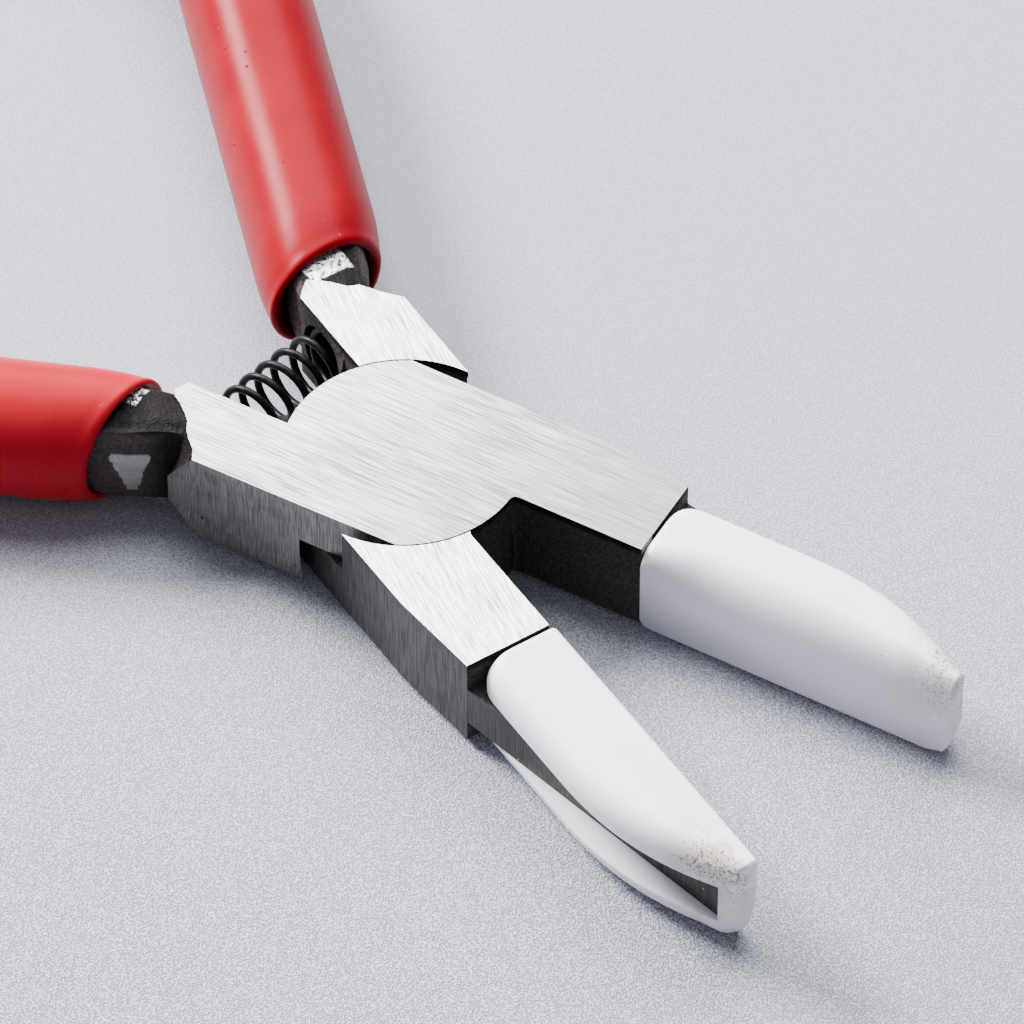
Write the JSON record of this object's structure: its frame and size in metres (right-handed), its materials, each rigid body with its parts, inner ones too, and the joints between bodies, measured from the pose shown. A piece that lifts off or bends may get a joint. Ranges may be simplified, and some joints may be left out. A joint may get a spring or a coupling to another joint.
{
  "type": "nylon jaw pliers",
  "caption": "Flat-nose jewellery pliers with smooth nylon jaws on steel tangs, a lap joint, a coil return spring and dipped vinyl grips.",
  "frame": {"origin": "on the pivot axis, in the flat underside of the joint", "axes": "+X towards the jaws along the line that halves their opening, +Z along the pivot axis towards the upper half"},
  "size_m": [0.1294, 0.0922, 0.0115],
  "materials": {
    "steel": "ground and brushed faces, black oxide on the rest",
    "rivet_steel": "ground flush",
    "nylon": "satin moulded nylon",
    "vinyl": "glossy dipped vinyl",
    "spring_steel": "black oxide spring wire"
  },
  "bodies": {
    "upper_half": {"half_a": "steel", "rivet": "rivet_steel", "nylon_jaw_a": "nylon", "grip_a": "vinyl", "spring": "spring_steel"},
    "lower_half": {"half_b": "steel", "nylon_jaw_b": "nylon", "grip_b": "vinyl"}
  },
  "joints": [
    {"name": "pivot", "type": "hinge", "parent": "upper_half", "child": "lower_half", "pos_m": [0, 0, 0], "axis": [0, 0, 1], "range_deg": [-24, 27], "stiffness_Nm_per_rad": 0.15, "deforming": ["spring"]}
  ]
}
